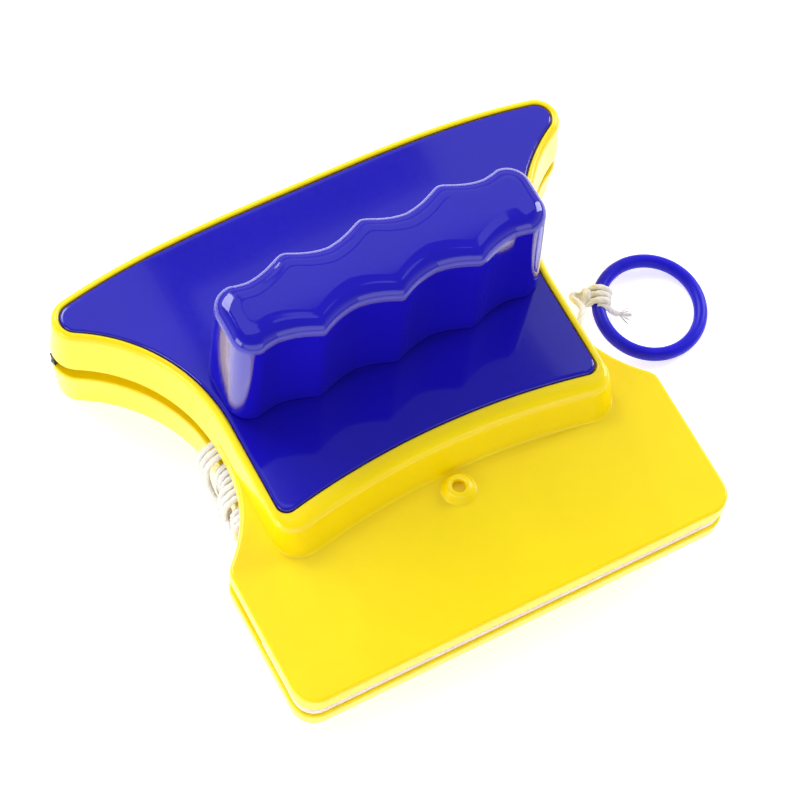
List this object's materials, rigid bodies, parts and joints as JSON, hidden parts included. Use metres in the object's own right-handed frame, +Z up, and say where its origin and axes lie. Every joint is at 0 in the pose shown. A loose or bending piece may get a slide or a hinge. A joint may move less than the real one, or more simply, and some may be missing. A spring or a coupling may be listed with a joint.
{
  "type": "magnetic glass cleaner",
  "caption": "Two-part magnetic window cleaner stored face to face, with an upright finger-grooved grip, cleaning pads, wiper blades and a safety cord with a finger ring.",
  "frame": {"origin": "middle of the footprint, on the surface that the outer half lies on", "axes": "+X along the grip, +Y from the thin flanges towards the wide wiper end, +Z up from the outer half to the grip"},
  "size_m": [0.1708, 0.1295, 0.075],
  "materials": {
    "yellow_plastic": "glossy injection-moulded ABS",
    "blue_plastic": "high-gloss injection-moulded ABS",
    "zinc_steel": "zinc plated",
    "yoke_steel": "plain sheet steel",
    "magnet": "nickel plated",
    "cleaning_cloth": "short pile cloth",
    "wiper_rubber": "matt",
    "cotton_cord": "twisted cotton"
  },
  "bodies": {
    "outer_half": {"outer_tray": "yellow_plastic", "outer_cover": "blue_plastic", "outer_yoke_plate": "yoke_steel", "outer_magnet_left": "magnet", "outer_magnet_right": "magnet", "outer_yoke_screw_1": "zinc_steel", "outer_yoke_screw_2": "zinc_steel", "outer_yoke_screw_3": "zinc_steel", "outer_yoke_screw_4": "zinc_steel", "outer_front_pad": "cleaning_cloth", "outer_rear_pad": "cleaning_cloth", "outer_wiper_blade": "wiper_rubber", "cord_anchor_knot": "cotton_cord", "cord_lead": "cotton_cord", "cord_hank": "cotton_cord", "cord_free_end": "cotton_cord", "cord_ring_knot": "cotton_cord", "finger_ring": "blue_plastic"},
    "inner_half": {"inner_tray": "yellow_plastic", "inner_cover": "blue_plastic", "handle_grip": "blue_plastic", "handle_screw_left": "zinc_steel", "handle_screw_right": "zinc_steel", "inner_yoke_plate": "yoke_steel", "inner_magnet_left": "magnet", "inner_magnet_right": "magnet", "inner_yoke_screw_1": "zinc_steel", "inner_yoke_screw_2": "zinc_steel", "inner_yoke_screw_3": "zinc_steel", "inner_yoke_screw_4": "zinc_steel", "inner_front_pad": "cleaning_cloth", "inner_rear_pad": "cleaning_cloth", "inner_wiper_blade": "wiper_rubber"}
  },
  "joints": [
    {"name": "halves_apart", "type": "slide", "parent": "outer_half", "child": "inner_half", "axis": [0, 0, 1], "range_m": [0, 0.05]}
  ]
}
